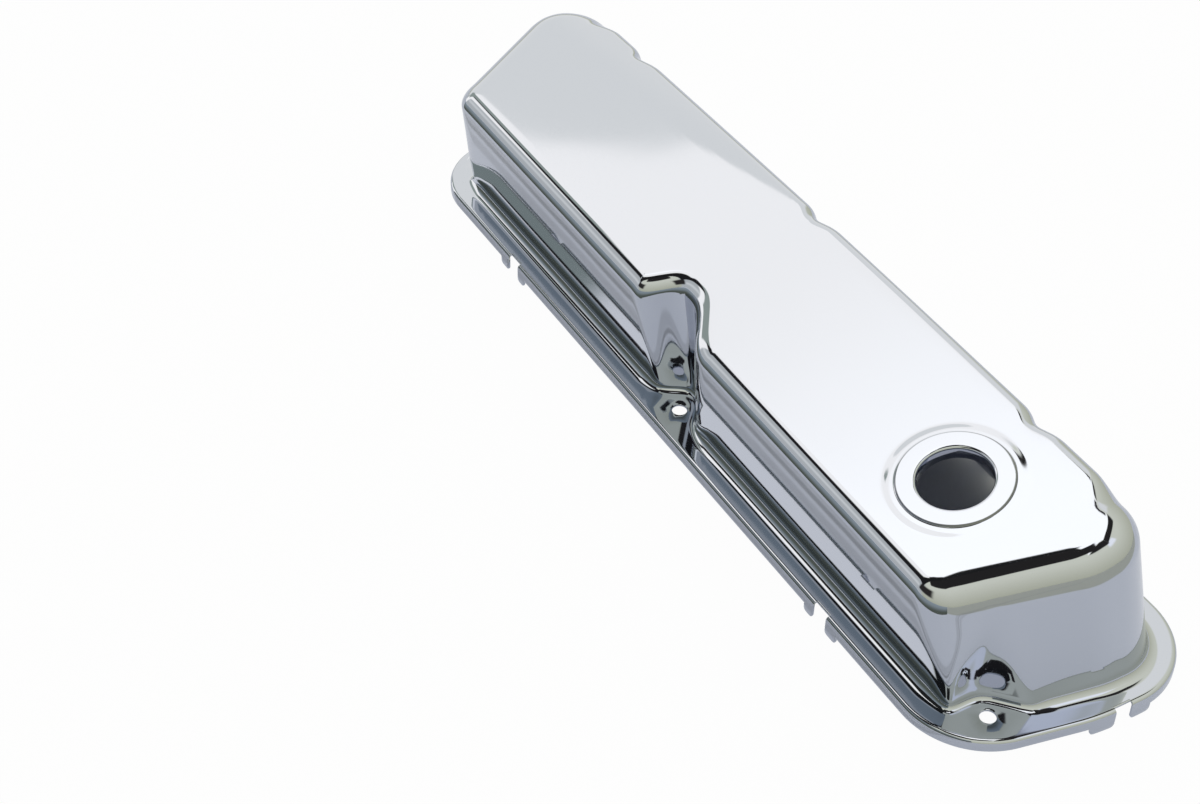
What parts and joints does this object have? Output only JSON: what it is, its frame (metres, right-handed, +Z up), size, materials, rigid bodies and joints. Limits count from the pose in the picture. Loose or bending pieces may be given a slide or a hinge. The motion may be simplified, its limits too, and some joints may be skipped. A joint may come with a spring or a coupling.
{
  "type": "engine valve cover",
  "caption": "Tall pressed-steel valve cover with a sloping flat top, a raised filler seat, clearance recesses beside the bolts and a turned-down lip with tabs.",
  "frame": {"origin": "centre of the cover's footprint, at the tips of the lowest lip tabs", "axes": "+X runs along the cover to the filler end, +Y to the side with three bolt recesses, +Z up"},
  "size_m": [0.4764, 0.1246, 0.0923],
  "materials": {
    "cover_shell": "bright chrome plate on pressed steel"
  },
  "bodies": {
    "root": {"cover_shell": "cover_shell"}
  },
  "joints": []
}
